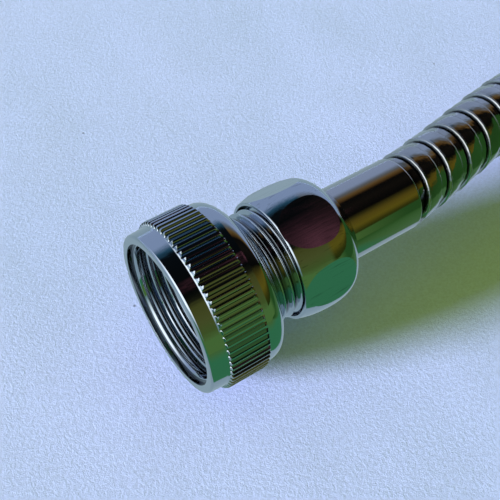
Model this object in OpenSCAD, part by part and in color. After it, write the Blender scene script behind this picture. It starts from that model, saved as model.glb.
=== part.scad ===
// Handheld bath sprayer: a swivelling tap collar and hose nut, a strip-wound metal hose with a soft
// liner, and a hand shower with a selector ring and a pause slider.
// Millimetres. +X runs along the tap fitting from its first thread towards the hose, +Z is up.

/* [Tap collar] */
// Outer radius over the knurl
collar_r = 16; // [15.8:0.1:17]
// Length of the collar, mouth to rear face
collar_len = 16; // [15.5:0.1:18]
// Depth of the knurl flutes
knurl_depth = 0.64; // [0.4:0.02:0.8]
// Number of knurl flutes
knurl_count = 74; // [60:1:80]
// Length of the knurled band
knurl_len = 8.5; // [7:0.1:9.5]
// Length of the smooth lip in front of the knurl
lip_len = 3.3; // [2.8:0.1:3.6]
// Depth of the plain counterbore in the mouth
lead_in = 1.5; // [1:0.1:2]
// Crest radius of the tap thread
tap_thread_r = 12.58; // [12.4:0.02:12.8]
// Root radius of the tap thread, also of the counterbore
tap_root_r = 13.43; // [13.2:0.01:13.5]
// Pitch of the tap thread
tap_pitch = 2.209; // [2:0.001:2.3]
// Turns of the tap thread
tap_turns = 3; // [2:1:3]
// Thickness of the collar's rear wall
collar_wall = 2.6; // [2.2:0.1:3]

/* [Tap seal] */
// Thickness of the rubber tap washer
tap_washer_t = 2.1; // [1.6:0.1:2.2]
// Hole radius of the tap washer
tap_washer_hole_r = 8.6; // [7:0.1:9.5]
// Thickness of the strainer disc
strainer_t = 0.4; // [0.3:0.05:0.5]
// Radius of one strainer hole
strainer_hole_r = 0.5; // [0.3:0.05:0.55]

/* [Threaded nipple] */
// Crest radius of the half inch pipe thread
pipe_r = 10.48; // [10.3:0.02:10.6]
// Depth of the half inch pipe thread
pipe_depth = 1; // [0.7:0.05:1.1]
// Pitch of the half inch pipe thread
pipe_pitch = 1.814; // [1.7:0.001:1.9]
// Bore radius of the nipple
nipple_bore_r = 7.5; // [6:0.1:7.8]
// Thickness of the nipple's flange inside the collar
nipple_flange_t = 1.8; // [1.4:0.1:2]
// Bare neck between the collar and the hose nut
neck_gap = 5.2; // [4:0.1:6]

/* [Hose nut] */
// Length of the domed nut
nut_len = 14.3; // [14:0.1:16]
// Largest radius of the domed nut
nut_r = 12.45; // [12.2:0.05:12.8]
// Distance across the nut's flats
nut_flats = 23.1; // [22.8:0.1:24]
// Angle of the nut's first flat, from the Y axis
nut_turn = 109.4; // [90:0.1:150]

/* [Hose ends] */
// Outer radius of the ferrules
ferrule_r = 7.3; // [7.05:0.05:7.4]
// Length of ferrule that shows behind a nut
ferrule_shown = 15.9; // [14:0.1:20]
// Radius of the stem's flange
stem_flange_r = 8.8; // [8.2:0.1:9]
// Radius of the stem's neck
stem_neck_r = 6.6; // [6:0.05:6.6]
// Radius of the stem's barb
stem_barb_r = 3.3; // [3:0.05:3.4]
// Water passage radius of the stem
stem_bore_r = 2.4; // [1.8:0.1:2.6]
// Thickness of the hose washers
hose_washer_t = 2; // [1.5:0.1:2.5]

/* [Hose] */
// Radius over the raised bands of the metal hose
hose_r = 7.1; // [6.9:0.01:7.12]
// Depth of the grooves between the bands
hose_groove = 0.65; // [0.4:0.05:0.7]
// Pitch of the bands
band_pitch = 7.12; // [7.12:0.02:7.4]
// Radius of the metal hose's bore
hose_bore_r = 5.5; // [5.4:0.05:5.6]
// Outer radius of the soft liner
liner_r = 5.1; // [4.9:0.05:5.15]
// Bore radius of the soft liner
liner_bore_r = 3.9; // [3.8:0.05:4.2]

/* [Coil] */
// Radius of the outermost turn's centreline
coil_r = 86; // [82:0.5:92]
// Spacing of neighbouring turns and of layers
coil_step = 14.6; // [14.55:0.05:16]

/* [Cone nut] */
// Length of the conical nut
cone_nut_len = 32; // [30:0.5:36]
// Radius at the cone nut's wide end
cone_nut_r = 11.9; // [11.7:0.1:12.4]
// Radius at the cone nut's narrow end
cone_nut_tip_r = 8.4; // [8.2:0.1:9.5]
// How much further than the domed nut the cone nut reaches over its ferrule
cone_cover = 8; // [4:0.5:10]
// Number of finger scallops round the cone nut
cone_scallops = 12; // [6:1:14]

/* [Handle] */
// Radius at the thickest place of the handle
handle_r = 13; // [12.6:0.1:13.5]
// Length of the handle, its shoulder to the head's centre
handle_len = 163; // [158:1:180]
// Bore radius of the handle
handle_bore_r = 9.5; // [9.2:0.1:9.8]
// Outer radius of the inner water tubes
water_tube_r = 6; // [5.6:0.1:6.2]
// Wall of the inner water tubes
water_tube_wall = 1.5; // [1:0.1:1.8]

/* [Pause slider] */
// Distance from the handle's shoulder to the valve's rear end
valve_x = 54; // [50:1:58]
// Length of the valve body
valve_len = 42; // [42:1:46]
// Travel of the slider
slider_travel = 8; // [5:0.5:8]
// Length of the thumb pad
slider_len = 14; // [12:0.5:15]
// Width of the thumb pad
slider_w = 8; // [6:0.5:8.5]
// Radius of the valve spool
spool_r = 5; // [4.5:0.1:5.3]

/* [Head] */
// Outer radius of the selector ring
head_r = 36; // [35:0.5:40]
// Radius of the head's cup
cup_r = 34.5; // [34:0.1:34.7]
// Wall of the shell
shell_wall = 2.2; // [1.8:0.1:2.4]
// Height of the cup's rim above the handle's axis
rim_z = 6.5; // [6.4:0.1:7]
// Height of the spray plate's face above the handle's axis
face_z = 13.1; // [13:0.1:14]
// Radius of the manifold drum
drum_r = 20; // [18:0.5:22]
// Nozzles in the innermost ring, and added in each ring after it
nozzle_step = 8; // [6:1:8]
// Rings of nozzles
nozzle_rings = 4; // [2:1:4]
// Radius of a nozzle's foot
nozzle_r = 1.05; // [0.8:0.05:1.2]

/* [Hidden] */

// Clearances: turning fit, loose fit, and a cut's overshoot
running = 0.08;
loose = 0.3;
past = 1;

// Places along the tap fitting, with the first thread at x = 0
mouth_x = -lead_in;
collar_end_x = mouth_x + collar_len;
collar_wall_x = collar_end_x - collar_wall;
nipple_flange_x = collar_wall_x - running - nipple_flange_t;
tap_washer_x = nipple_flange_x - strainer_t - tap_washer_t;
tap_crest = 0.6;
tap_thread_len = tap_turns * tap_pitch + tap_crest;
tap_relief_r = tap_root_r - 0.2;
nipple_flange_r = tap_relief_r - 0.6;
strainer_pitch = 2 * strainer_hole_r + 0.7;
collar_hole_r = pipe_r + 0.3;
nut_x = collar_end_x + neck_gap;
nut_end_x = nut_x + nut_len;
hose_start = [nut_end_x + ferrule_shown, 0, 0];

// Stem and ferrule, measured from the hose's end
tube_socket = 13.4;
stem_grip = 1.4;
ferrule_len = ferrule_shown + 1.3;
stem_flange_at = ferrule_shown + 3.7;
stem_flange_t = 2;
washer_at = stem_flange_at + stem_flange_t;
pipe_end_at = washer_at + hose_washer_t;
shoulder_at = stem_flange_at - running;
pipe_root_r = pipe_r - pipe_depth;
pipe_crest = 0.3;
nut_hole_r = ferrule_r + running;
washer_r = pipe_root_r - 0.2;
washer_hole_r = 4.5;
nipple_shank_r = collar_hole_r - running;
nipple_turns = floor((from_hose(collar_end_x + 0.6) - pipe_end_at) / pipe_pitch);
thread_gap = 0.15;
function from_hose(x) = hose_start[0] - x;

// Hose route from the inlet ferrule, relative to the hose's start: down onto the floor, then the coil
run_points = [[0, 0, 0], [8.7, 1.9, -1], [15.7, 3.5, -1.7], [23, 5.2, -2.2], [30.7, 7, -2.8],
    [42, 9.3, -3.8], [54, 11.3, -4.9], [66, 12.9, -6.1], [78, 14.1, -7.1], [90, 15, -8],
    [102, 15.5, -8.6], [112, 15.6, -8.9], [116, 15.6, -8.9], [130, 15.6, -8.9]];
// Hose route from the coil to the outlet ferrule, relative to the coil's end
exit_points = [[0, 0, 0], [-14, 0, 0], [-20, 0, -0.25], [-26.5, 0, -1.05], [-33, 0, -2.45],
    [-39, 0, -4.3], [-45, 0, -6.15], [-51.5, 0, -7.6], [-58, 0, -8.4], [-64, 0, -8.7], [-78, 0, -8.7]];
coil_climb_dip = 2.6;
coil_start = hose_start + run_points[len(run_points) - 1];
coil_centre = coil_start - [0, coil_r, 0];

// How far into the coil's climb, from 0 to 1, a turning angle is
function climb(a) = min(max((a - 360) / 180, 0), 1);
function ease(t) = t * t * (3 - 2 * t);
// Radius of the coil: in over the first turn, level in the climb, and out again
function coil_radius(a) =
    a <= 360 ? coil_r - coil_step * a / 360
    : a <= 540 ? coil_r - coil_step - coil_climb_dip * sin(180 * climb(a))
    : coil_r - coil_step + coil_step * (a - 540) / 360;
function coil_point(a) = coil_centre
    + [coil_radius(a) * sin(a), coil_radius(a) * cos(a), coil_step * ease(climb(a))];
coil_end = coil_point(900);
hose_end = coil_end + exit_points[len(exit_points) - 1];

// One span of a smooth curve through points
function spline(p0, p1, p2, p3, t) = 0.5 * (2 * p1 + (p2 - p0) * t + (2 * p0 - 5 * p1 + 4 * p2 - p3) * t * t
    + (3 * p1 - p0 - 3 * p2 + p3) * t * t * t);
function smooth(p, cuts) = [for (i = [0 : len(p) - 2], k = [0 : cuts - 1])
    spline(p[max(i - 1, 0)], p[i], p[i + 1], p[min(i + 2, len(p) - 1)], k / cuts)];
run_curve = smooth(run_points, 4);
coil_curve = [for (a = [0 : 5 : 895]) coil_point(a)];
route = concat([for (q = run_curve) hose_start + q], coil_curve,
    [for (q = smooth(exit_points, 4)) coil_end + q], [hose_end]);
route_at = [for (i = 0, s = 0; i < len(route);
    s = s + (i < len(route) - 1 ? norm(route[i + 1] - route[i]) : 0), i = i + 1) s];
route_len = route_at[len(route_at) - 1];
coil_from = route_at[len(run_curve)];
coil_to = route_at[len(run_curve) + len(coil_curve)];
route_xyz = [for (axis = [0 : 2]) [for (i = [0 : len(route) - 1]) [route_at[i], route[i][axis]]]];
function along(s) = [lookup(s, route_xyz[0]), lookup(s, route_xyz[1]), lookup(s, route_xyz[2])];
function unit(v) = v / norm(v);
heading_reach = 2;
function heading(s) = s <= 0 ? [1, 0, 0] : s >= route_len ? [-1, 0, 0]
    : unit(along(min(s + heading_reach, route_len)) - along(max(s - heading_reach, 0)));
// Past either end the line goes straight on into the ferrule
function centre(s) = s < 0 ? hose_start + [s, 0, 0]
    : s > route_len ? hose_end - [s - route_len, 0, 0] : along(s);
function ring(s, r) = let (t = heading(s), side = unit(cross([0, 0, 1], t)), up = cross(t, side))
    [for (k = [0 : hose_sides - 1]) centre(s) + r * (cos(360 * k / hose_sides) * side
        + sin(360 * k / hose_sides) * up)];

// Bands of the metal hose: a lip, a slope down to the groove, and the next lip
hose_sides = 8;
first_lip = 1.6;
groove_at = 0.85;
band_count = 2 * floor((route_len - first_lip) / band_pitch / 2);
run_bands = 2 * floor((coil_from - first_lip) / band_pitch / 2);
coil_bands = 2 * ceil((coil_to - first_lip) / band_pitch / 2);
groove_r = hose_r - hose_groove;
function lip_s(i) = first_lip + i * band_pitch;
function groove_s(i) = lip_s(i) + groove_at * band_pitch;
function bands(a, b) = [for (i = [a : b - 1]) each [[lip_s(i), hose_r], [groove_s(i), groove_r]]];
function bore_stations(a, b) = [for (i = [a + 1 : 2 : b - 1]) groove_s(i)];

// Least gap of the coil to itself, from one half turn to the next and beyond
coil_probe = [for (a = [0 : 6 : 900]) coil_point(a)];
coil_gap = min([for (i = [0 : len(coil_probe) - 1], j = [i + 30 : 1 : len(coil_probe) - 1])
    norm(coil_probe[i] - coil_probe[j])]) - 2 * hose_r;
echo(coil_gap = coil_gap, hose_length = route_len, bands = [run_bands, coil_bands, band_count]);

// Places along the hand shower, measured from the hose's outlet end
cone_nut_at = ferrule_shown - cone_cover;
cone_nut_end_at = cone_nut_at + cone_nut_len;
scallop_r = 2.3;
scallop_depth = 0.35;
spigot_rings = floor((cone_nut_end_at - 0.6 - pipe_end_at) / pipe_pitch);
spigot_flange_at = cone_nut_end_at + loose;
spigot_flange_t = 2;
shell_at = spigot_flange_at + spigot_flange_t;
spigot_sleeve_len = 16;
spigot_bore_r = water_tube_r + 0.05;
head_at = shell_at + handle_len;
valve_at = shell_at + valve_x;
valve_r = handle_bore_r - 0.1;
rear_tube_at = shell_at + 4;
tube_seat = 6;

// The pause valve: a spool that slides in a bored body, driven by a stem under the thumb pad
spool_len = 20;
spool_at = valve_at + 7;
stem_w = 4;
stem_len = 8;
stem_at = spool_at + 7;
stem_foot_z = 1;
bezel_pocket_z = handle_bore_r + 1.7;
bezel_t = 1.4;
bezel_len = valve_len - 2;
bezel_w = 12.6;
slider_at = stem_at + (stem_len - slider_len) / 2;
slider_top_z = bezel_pocket_z + bezel_t + 2.4;
oring_r = 0.65;
handle_start_r = handle_r - 1.1;
spigot_oring_at = shell_at + spigot_sleeve_len - 4;
spigot_groove_r = handle_bore_r - 2 * oring_r - 0.05;
port_neck_r = 4.4;
port_at = head_at - head_r - 9.5;

// Heights in the head, from the handle's axis
seal_inset = 3;
seal_depth = 1.7;
port_out = 9.5;
plate_inset = 4.8;
head_floor_z = -handle_r;
cup_floor_z = head_floor_z + shell_wall;
cup_bore_r = cup_r - shell_wall;
drum_top_z = rim_z - 0.5;
diverter_z = drum_top_z + 0.2;
diverter_t = 2;
boss_top_z = diverter_z + diverter_t + 0.3;
boss_r = 4.2;
distributor_t = 1.4;
mat_z = boss_top_z + distributor_t;
mat_t = 1;
plate_z = mat_z + mat_t;
ring_z = rim_z + loose;
ring_top_z = face_z - 1;
skirt_r = cup_bore_r - 0.4;
skirt_z = port_neck_r + 0.2;
diverter_r = skirt_r - 2.1;
plate_r = head_r - plate_inset;
nozzle_top_z = face_z + 1;
nozzle_first_r = 11;
nozzle_gap = (plate_r - 2.5 - nozzle_first_r) / 3;
screw_r = 1.9;
screw_head_r = 3.5;
screw_head_z = face_z - 1.4;
detent_r = 1.5;
detent_out = 12;
detent_floor_z = -5;
seal_r = 0.9;
seal_out = drum_r - seal_inset;
neck_from = 62;
neck_to = 20;
neck_rings = 12;
neck_sides = 48;
neck_r = handle_r - 0.7;
neck_half_w = sqrt(cup_r * cup_r - neck_to * neck_to);
// The spread's power, so that the neck meets the cup's edge without a kink
neck_power = neck_to / neck_half_w * (neck_from - neck_to) / (neck_half_w - neck_r);
tab_angle = -30;
tab_reach = 3.5;
tab_w = 10;

chrome = "silver";
dark = "#202224";
clear_plastic = "#e8ecec";

// A body turned about the X axis from [x, r] points
module turned(points, fn = 96) {
    rotate([0, 90, 0]) rotate_extrude($fn = fn) polygon([for (p = points) [p[1], p[0]]]);
}
// A plain ring or tube along X
module tube_x(x, len, r, bore, fn = 96) {
    turned([[x, bore], [x, r], [x + len, r], [x + len, bore]], fn);
}
// Rings of the pipe thread from the joint's washer onwards, as [x, r] points
function pipe_rings(turns, gap) = [for (i = [0 : turns - 1]) let (x = pipe_end_at + i * pipe_pitch)
    each [[x, pipe_root_r + gap], [x + pipe_pitch / 2 - pipe_crest, pipe_r + gap],
        [x + pipe_pitch / 2, pipe_r + gap], [x + pipe_pitch - pipe_crest, pipe_root_r + gap]]];
// A piece at the inlet or outlet end of the hose, with its own x = 0 at the hose's end
module at_inlet() translate(hose_start) rotate([0, 0, 180]) children();
module at_outlet() translate(hose_end) rotate([0, 0, 180]) children();
module at_head() at_outlet() translate([head_at, 0, 0]) children();
// A body turned about the head's upright axis from [r, z] points
module turned_z(points) rotate_extrude($fn = 128) polygon(points);

// ---- Tap fitting ----

// Straight flutes round the collar, as a prism
module knurl_prism() {
    tooth = 360 / knurl_count;
    rotate([0, 90, 0]) linear_extrude(knurl_len + 0.6)
        polygon([for (i = [0 : knurl_count - 1]) each [
            for (k = [[0, 0], [0.18, 0], [0.4, 1], [0.78, 1]])
                let (a = (i + k[0]) * tooth, r = collar_r - (1 - k[1]) * knurl_depth) [r * cos(a),
                    r * sin(a)]]]);
}
module collar_blank() {
    knurl_x = mouth_x + lip_len;
    knurl_end_x = knurl_x + knurl_len;
    foot_r = collar_r - knurl_depth;
    difference() {
        union() {
            turned([[mouth_x, tap_root_r], [mouth_x, foot_r - 0.6], [mouth_x + 0.3, foot_r - 0.3],
                [knurl_x - 0.2, foot_r - 0.12], [knurl_x, foot_r],
                [knurl_end_x, foot_r], [knurl_end_x + 0.4, foot_r + 0.2],
                [collar_end_x - 2.9, foot_r - 0.05], [collar_end_x - 1.8, foot_r - 0.75],
                [collar_end_x - 0.9, foot_r - 1.75], [collar_end_x - 0.25, foot_r - 2.9],
                [collar_end_x, foot_r - 3.3], [collar_end_x, tap_relief_r - 3], [mouth_x, tap_relief_r - 3]]);
            intersection() {
                translate([knurl_x - 0.05, 0, 0]) knurl_prism();
                turned([[knurl_x - 0.1, 0], [knurl_x - 0.1, foot_r - 0.1], [knurl_x + 0.6, collar_r + 0.01],
                    [knurl_end_x - 0.3, collar_r + 0.01], [knurl_end_x + 0.3, foot_r],
                        [knurl_end_x + 0.3, 0]]);
            }
        }
        turned([[mouth_x - past, 0], [mouth_x - past, tap_root_r], [0, tap_root_r], [0, 0]]);
        turned([[-0.5, 0], [-0.5, tap_thread_r], [tap_thread_len, tap_thread_r],
            [tap_thread_len, tap_relief_r], [collar_wall_x, tap_relief_r],
            [collar_wall_x, collar_hole_r], [collar_end_x + past, collar_hole_r], [collar_end_x + past, 0]]);
    }
}
module tap_collar() color(chrome) difference() {
    collar_blank();
    for (i = [0 : tap_turns - 1]) turned([
        [i * tap_pitch + tap_crest, tap_thread_r - 0.3], [i * tap_pitch + tap_crest, tap_thread_r],
        [(i + 0.5) * tap_pitch + tap_crest / 2 - 0.15, tap_root_r],
        [(i + 0.5) * tap_pitch + tap_crest / 2 + 0.15, tap_root_r],
        [(i + 1) * tap_pitch, tap_thread_r], [(i + 1) * tap_pitch, tap_thread_r - 0.3]]);
}
module tap_washer() color(dark)
    tube_x(tap_washer_x, tap_washer_t, tap_relief_r - 0.1, tap_washer_hole_r);
module strainer_disc() color(chrome) difference() {
    tube_x(nipple_flange_x - strainer_t, strainer_t, nipple_flange_r, 0);
    for (i = [-8 : 8], j = [-8 : 8]) {
        y = (i + (j % 2 == 0 ? 0 : 0.5)) * strainer_pitch;
        z = j * strainer_pitch * sin(60);
        if (norm([y, z]) < min(nipple_bore_r, tap_washer_hole_r) - strainer_hole_r - 0.3)
            translate([nipple_flange_x - strainer_t - past, y, z]) rotate([0, 90, 0])
                cylinder(r = strainer_hole_r, h = strainer_t + 2 * past, $fn = 16);
    }
}
module adapter_nipple() color(chrome) at_inlet() turned(concat(
    [[pipe_end_at, nipple_bore_r], [pipe_end_at, pipe_root_r]], pipe_rings(nipple_turns, 0),
    [[from_hose(collar_end_x + 0.5), pipe_root_r], [from_hose(collar_end_x + 0.2), nipple_shank_r],
    [from_hose(nipple_flange_x + nipple_flange_t), nipple_shank_r],
    [from_hose(nipple_flange_x + nipple_flange_t), nipple_flange_r],
    [from_hose(nipple_flange_x), nipple_flange_r], [from_hose(nipple_flange_x), nipple_bore_r]]));

// ---- Hose ends ----

// Bore of a nut: the hole over the ferrule, the room for the stem's flange, then the thread
module nut_bore(rear, front) {
    turns = floor((front - 0.6 - pipe_end_at) / pipe_pitch);
    turned(concat([[rear - past, 0], [rear - past, nut_hole_r], [shoulder_at, nut_hole_r],
        [shoulder_at, pipe_root_r + thread_gap]], pipe_rings(turns, thread_gap),
        [[pipe_end_at + turns * pipe_pitch, pipe_root_r + thread_gap],
        [pipe_end_at + (turns + 0.2) * pipe_pitch, pipe_r + thread_gap], [front - 0.2, pipe_r + thread_gap],
        [front, pipe_r + 0.5], [front + past, pipe_r + 0.5], [front + past, 0]]));
}
module dome_nut() color(chrome) at_inlet() difference() {
    rear = ferrule_shown;
    front = rear + nut_len;
    turned([[rear, 0], [rear, nut_r - 4.4], [rear + 1.3, nut_r - 2.9], [rear + 2.2, nut_r - 1.75],
        [rear + 3.2, nut_r - 0.95], [rear + 4.5, nut_r - 0.4], [rear + 6, nut_r - 0.1], [rear + 7.5, nut_r],
        [rear + 9.5, nut_r - 0.05], [rear + 11.5, nut_r - 0.3], [rear + 13, nut_r - 0.7],
        [front - 0.4, nut_r - 1], [front, nut_r - 1.4], [front, 0]]);
    // Flats round the dome; the piece is turned half round, so angles run the other way
    for (i = [0 : 5]) rotate([180 - nut_turn + 60 * i, 0, 0])
        translate([rear - past, nut_flats / 2, -nut_r]) cube([nut_len + 2 * past, nut_r, 2 * nut_r]);
    nut_bore(rear, front);
}
module inlet_washer() color(dark) at_inlet() tube_x(washer_at, hose_washer_t, washer_r, washer_hole_r);
module outlet_washer() color(dark) at_outlet() tube_x(washer_at, hose_washer_t, washer_r, washer_hole_r);
module hose_stem() {
    turned([[stem_grip, stem_bore_r], [stem_grip, stem_barb_r - 0.4], [stem_grip + 1.5, stem_barb_r],
        [tube_socket, stem_barb_r], [tube_socket, stem_neck_r], [stem_flange_at, stem_neck_r],
        [stem_flange_at, stem_flange_r], [washer_at, stem_flange_r], [washer_at, stem_bore_r + 1],
        [washer_at - 2, stem_bore_r]]);
}
module hose_ferrule() {
    turned([[0, liner_r + 0.25], [0, ferrule_r - 0.15], [0.3, ferrule_r], [ferrule_len, ferrule_r],
        [ferrule_len, stem_neck_r + 0.05], [tube_socket, stem_neck_r + 0.05], [tube_socket, liner_r + 0.25]]);
}
module inlet_stem() color(chrome) at_inlet() hose_stem();
module outlet_stem() color(chrome) at_outlet() hose_stem();
module inlet_ferrule() color(chrome) at_inlet() hose_ferrule();
module outlet_ferrule() color(chrome) at_outlet() hose_ferrule();

// ---- Hose ----

// A bored tube along the route: outer is a list of [station, radius], bore a list of stations
module bored_tube(outer, bore, bore_r) {
    n = hose_sides;
    rows = len(outer);
    holes = len(bore);
    first = rows * n;
    points = concat([for (q = outer) each ring(q[0], q[1])], [for (s = bore) each ring(s, bore_r)]);
    function wrap(row, k) = row * n + k % n;
    function quad(a, b, c, d) = [[a, b, c], [a, c, d]];
    polyhedron(points, concat(
        [for (j = [0 : rows - 2], k = [0 : n - 1])
            each quad(wrap(j, k), wrap(j, k + 1), wrap(j + 1, k + 1), wrap(j + 1, k))],
        [for (j = [0 : holes - 2], k = [0 : n - 1]) each quad(first + wrap(j, k),
            first + wrap(j + 1, k), first + wrap(j + 1, k + 1), first + wrap(j, k + 1))],
        [for (k = [0 : n - 1])
            each quad(wrap(0, k), first + wrap(0, k), first + wrap(0, k + 1), wrap(0, k + 1))],
        [for (k = [0 : n - 1]) each quad(wrap(rows - 1, k), wrap(rows - 1, k + 1),
            first + wrap(holes - 1, k + 1), first + wrap(holes - 1, k))]), convexity = 12);
}
module hose_inlet_run() color(chrome)
    bored_tube(concat([[0, groove_r]], bands(0, run_bands)),
        concat([0], bore_stations(0, run_bands)), hose_bore_r);
module hose_coil() color(chrome)
    bored_tube(concat([[groove_s(run_bands - 1), groove_r]], bands(run_bands, coil_bands)),
        concat([groove_s(run_bands - 1)], bore_stations(run_bands, coil_bands)), hose_bore_r);
module hose_outlet_run() color(chrome)
    bored_tube(concat([[groove_s(coil_bands - 1), groove_r]], bands(coil_bands, band_count),
        [[route_len, groove_r]]),
        concat([groove_s(coil_bands - 1)], bore_stations(coil_bands, band_count), [route_len]), hose_bore_r);
module inner_tube() color("white") {
    stations = concat([-tube_socket, 0], bore_stations(0, band_count), [route_len, route_len + tube_socket]);
    bored_tube([for (s = stations) [s, liner_r]], stations, liner_bore_r);
}

// ---- Hand shower ----

module cone_nut() color(chrome) at_outlet() difference() {
    turned([[cone_nut_at, 0], [cone_nut_at, cone_nut_tip_r - 0.5], [cone_nut_at + 0.5, cone_nut_tip_r],
        [shoulder_at - 1, cone_nut_r - 0.9], [cone_nut_end_at - 9, cone_nut_r - 0.1],
        [cone_nut_end_at - 8, cone_nut_r],
        [cone_nut_end_at - 0.5, cone_nut_r], [cone_nut_end_at, cone_nut_r - 0.5], [cone_nut_end_at, 0]]);
    for (i = [0 : cone_scallops - 1]) rotate([360 * i / cone_scallops, 0, 0])
        translate([cone_nut_end_at - 7.4, 0, cone_nut_r + scallop_r - scallop_depth]) rotate([0, 90, 0])
            cylinder(r = scallop_r, h = 5.7, $fn = 32);
    nut_bore(cone_nut_at, cone_nut_end_at);
}
module handle_spigot() color(chrome) at_outlet() difference() {
    turned(concat([[pipe_end_at, 0], [pipe_end_at, pipe_root_r]], pipe_rings(spigot_rings, 0),
        [[spigot_flange_at, pipe_root_r], [spigot_flange_at, handle_start_r],
        [shell_at, handle_start_r], [shell_at, handle_bore_r - 0.05],
        [shell_at + spigot_sleeve_len, handle_bore_r - 0.05], [shell_at + spigot_sleeve_len, 0]]));
    turned([[pipe_end_at - past, 0], [pipe_end_at - past, spigot_bore_r - 1.2],
        [rear_tube_at, spigot_bore_r - 1.2], [rear_tube_at, spigot_bore_r],
        [shell_at + spigot_sleeve_len + past, spigot_bore_r], [shell_at + spigot_sleeve_len + past, 0]]);
    tube_x(spigot_oring_at - oring_r - 0.05, 2 * oring_r + 0.1, handle_bore_r + past, spigot_groove_r);
}
module oring_x(x, outer_r) translate([x, 0, 0]) rotate([0, 90, 0]) rotate_extrude($fn = 64)
    translate([outer_r - oring_r, 0]) circle(r = oring_r, $fn = 24);
module spigot_oring() color(dark) at_outlet() oring_x(spigot_oring_at, handle_bore_r - 0.02);
module flow_restrictor() color(clear_plastic) at_outlet() difference() {
    tube_x(pipe_end_at + 4, 3, spigot_bore_r - 1.25, 0);
    for (i = [0 : 5]) rotate([60 * i, 0, 0]) translate([pipe_end_at + 4 - past, 0, 2.8]) rotate([0, 90, 0])
        cylinder(r = 0.8, h = 3 + 2 * past, $fn = 24);
}
module rear_tube() color(clear_plastic) at_outlet()
    tube_x(rear_tube_at, valve_at + tube_seat - rear_tube_at, water_tube_r, water_tube_r - water_tube_wall);
module front_tube() color(clear_plastic) at_outlet()
    tube_x(valve_at + valve_len - tube_seat, port_at + tube_seat - (valve_at + valve_len - tube_seat),
        water_tube_r, water_tube_r - water_tube_wall);
module valve_body() color(dark) at_outlet() difference() {
    tube_x(valve_at, valve_len, valve_r, spool_r + 0.05);
    tube_x(valve_at - past, tube_seat + past, spigot_bore_r, 0);
    tube_x(valve_at + valve_len - tube_seat, tube_seat + past, spigot_bore_r, 0);
    stem_slot(0, valve_r + past);
}
// The slot that the slider's stem runs in
module stem_slot(low_z, high_z) translate([stem_at - 0.5, -stem_w / 2 - 0.2, low_z])
    cube([stem_len + slider_travel + 1, stem_w + 0.4, high_z - low_z]);
module valve_spool() color(clear_plastic) at_outlet() difference() {
    tube_x(spool_at, spool_len, spool_r, 1.5);
    for (x = [spool_at + 2, spool_at + spool_len - 2])
        tube_x(x - oring_r - 0.05, 2 * oring_r + 0.1, spool_r + past, spool_r - 2 * oring_r - 0.05);
    translate([stem_at - 0.1, -stem_w / 2 - 0.1, stem_foot_z]) cube([stem_len + 0.2, stem_w + 0.2, spool_r]);
}
module spool_orings() color(dark) at_outlet() {
    for (x = [spool_at + 2, spool_at + spool_len - 2]) oring_x(x, spool_r + 0.02);
}
module thumb_slider() color(dark) at_outlet() {
    pad_z = bezel_pocket_z + 0.1;
    difference() {
        union() {
            translate([stem_at, -stem_w / 2, stem_foot_z]) cube([stem_len, stem_w,
                slider_top_z - 2 - stem_foot_z]);
            intersection() {
                translate([slider_at, -slider_w / 2, pad_z]) cube([slider_len, slider_w,
                    slider_top_z - pad_z]);
                translate([slider_at + slider_len / 2, slider_w / 2 + past, slider_top_z - slider_len])
                    rotate([90, 0, 0])
                    cylinder(r = slider_len, h = slider_w + 2 * past, $fn = 96);
            }
        }
        for (i = [-2 : 2]) translate([slider_at + slider_len / 2 + i * 2 - 0.35, -slider_w / 2 - past,
            slider_top_z - 0.9])
            cube([0.7, slider_w + 2 * past, 2]);
    }
}
module slider_bezel() color(chrome) at_outlet() difference() {
    translate([valve_at + 1, -bezel_w / 2, bezel_pocket_z]) cube([bezel_len, bezel_w, bezel_t]);
    translate([slider_at - 0.4, -slider_w / 2 - 0.2, bezel_pocket_z - past])
        cube([slider_len + slider_travel + 0.8, slider_w + 0.4, bezel_t + 2 * past]);
}
// Half-width of the neck at a share of its length
function neck_w(share) = neck_r + (neck_half_w - neck_r) * pow(share, neck_power);
// One ring of the neck: an oval across the handle's axis
function neck_ring(x, half_w, half_h) = [for (k = [0 : neck_sides - 1]) [x,
    half_w * cos(360 * (k + 0.5) / neck_sides), half_h * sin(360 * (k + 0.5) / neck_sides)]];
// Neck that spreads from the handle into the cup, from inside one to inside the other
module neck() {
    from = head_at - neck_from;
    step = (neck_from - neck_to) / neck_rings;
    last = neck_rings + 1;
    rings = [neck_ring(from - step, handle_r - 1.4, handle_r - 1.4),
        for (i = [1 : neck_rings]) neck_ring(from + i * step, neck_w(i / neck_rings), neck_r),
        neck_ring(head_at - neck_to / 2, neck_half_w - 1, neck_r - 1)];
    polyhedron(points = [for (ring = rings, p = ring) p], faces = [
        [for (k = [0 : neck_sides - 1]) k],
        [for (k = [0 : neck_sides - 1]) last * neck_sides + neck_sides - 1 - k],
        for (i = [0 : last - 1], k = [0 : neck_sides - 1]) let (m = (k + 1) % neck_sides,
            a = i * neck_sides, b = a + neck_sides) each [[a + k, b + m, a + m], [a + k, b + k, b + m]]]);
}
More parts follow.
